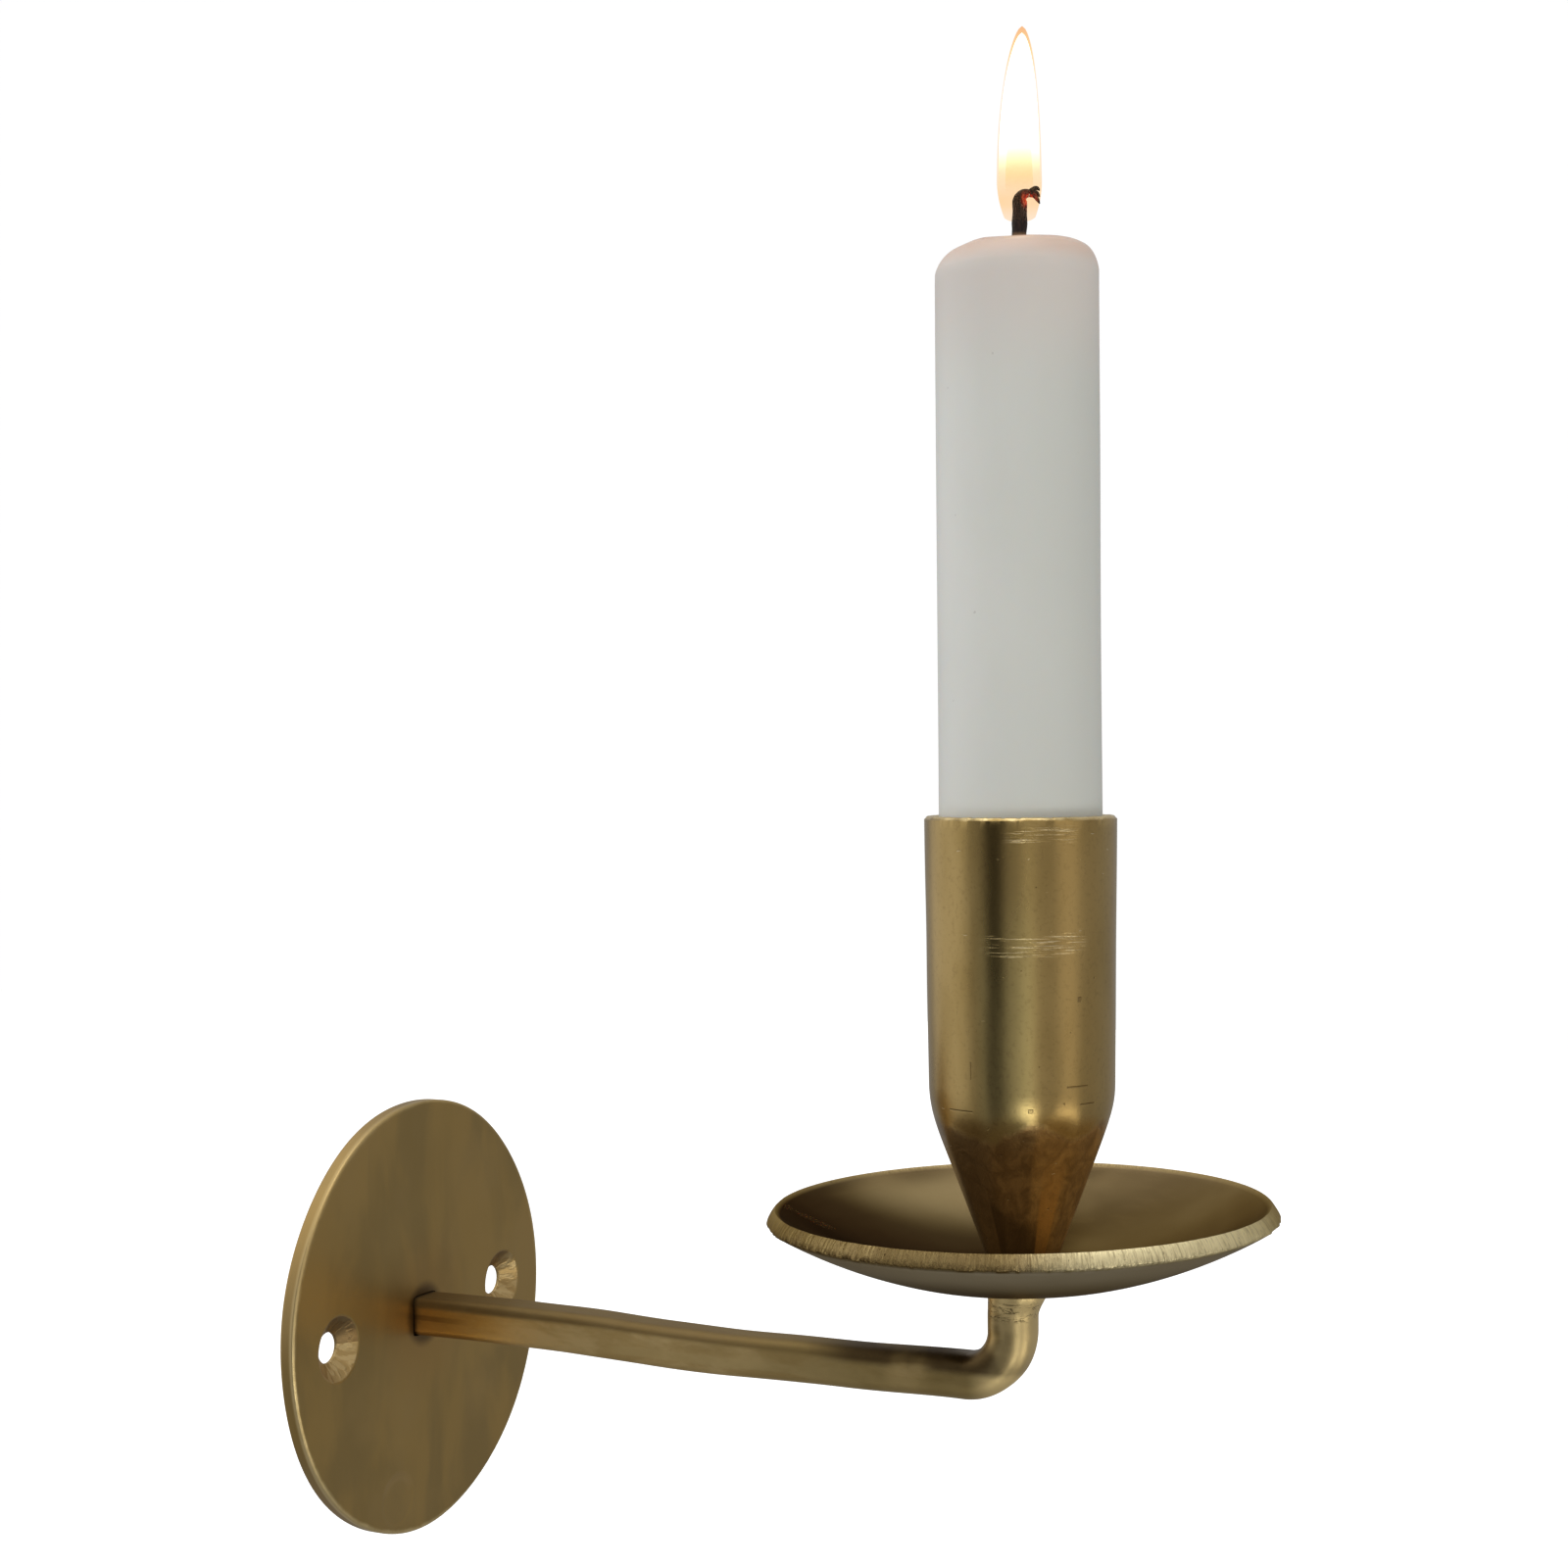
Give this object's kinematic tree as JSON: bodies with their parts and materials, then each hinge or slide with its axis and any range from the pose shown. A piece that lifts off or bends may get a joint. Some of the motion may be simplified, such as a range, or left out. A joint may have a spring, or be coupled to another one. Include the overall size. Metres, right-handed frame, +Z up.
{
  "type": "wall sconce candle holder",
  "caption": "Hand-forged brass wall sconce: round wall plate, bent square arm, shallow drip dish and tapered cup for one dinner candle.",
  "frame": {"origin": "middle of the wall plate's back face, on the wall", "axes": "+Z up, +Y into the wall, the arm reaches out along -Y"},
  "size_m": [0.069, 0.1338, 0.2149],
  "materials": {
    "plate_brass": "satin, aged to olive brown, worn bright at the edge",
    "arm_brass": "satin, hammered, worn bright at the bend",
    "dish_brass": "satin, dark inside, filed bright on the rim",
    "cup_brass": "satin, mottled patina with fine scratches",
    "screw_brass": "turned, bright",
    "wax": "soft, slightly translucent wax",
    "char": "charred cotton braid",
    "fire": "glowing gas"
  },
  "bodies": {
    "holder": {"wall_plate": "plate_brass", "arm": "arm_brass", "drip_dish": "dish_brass", "candle_cup": "cup_brass", "cup_screw": "screw_brass", "cup_washer": "screw_brass"},
    "candle": {"candle": "wax", "wick": "char", "flame": "fire"}
  },
  "joints": [
    {"name": "candle_lift", "type": "slide", "parent": "holder", "child": "candle", "axis": [0, 0, 1], "range_m": [0, 0.04]}
  ]
}
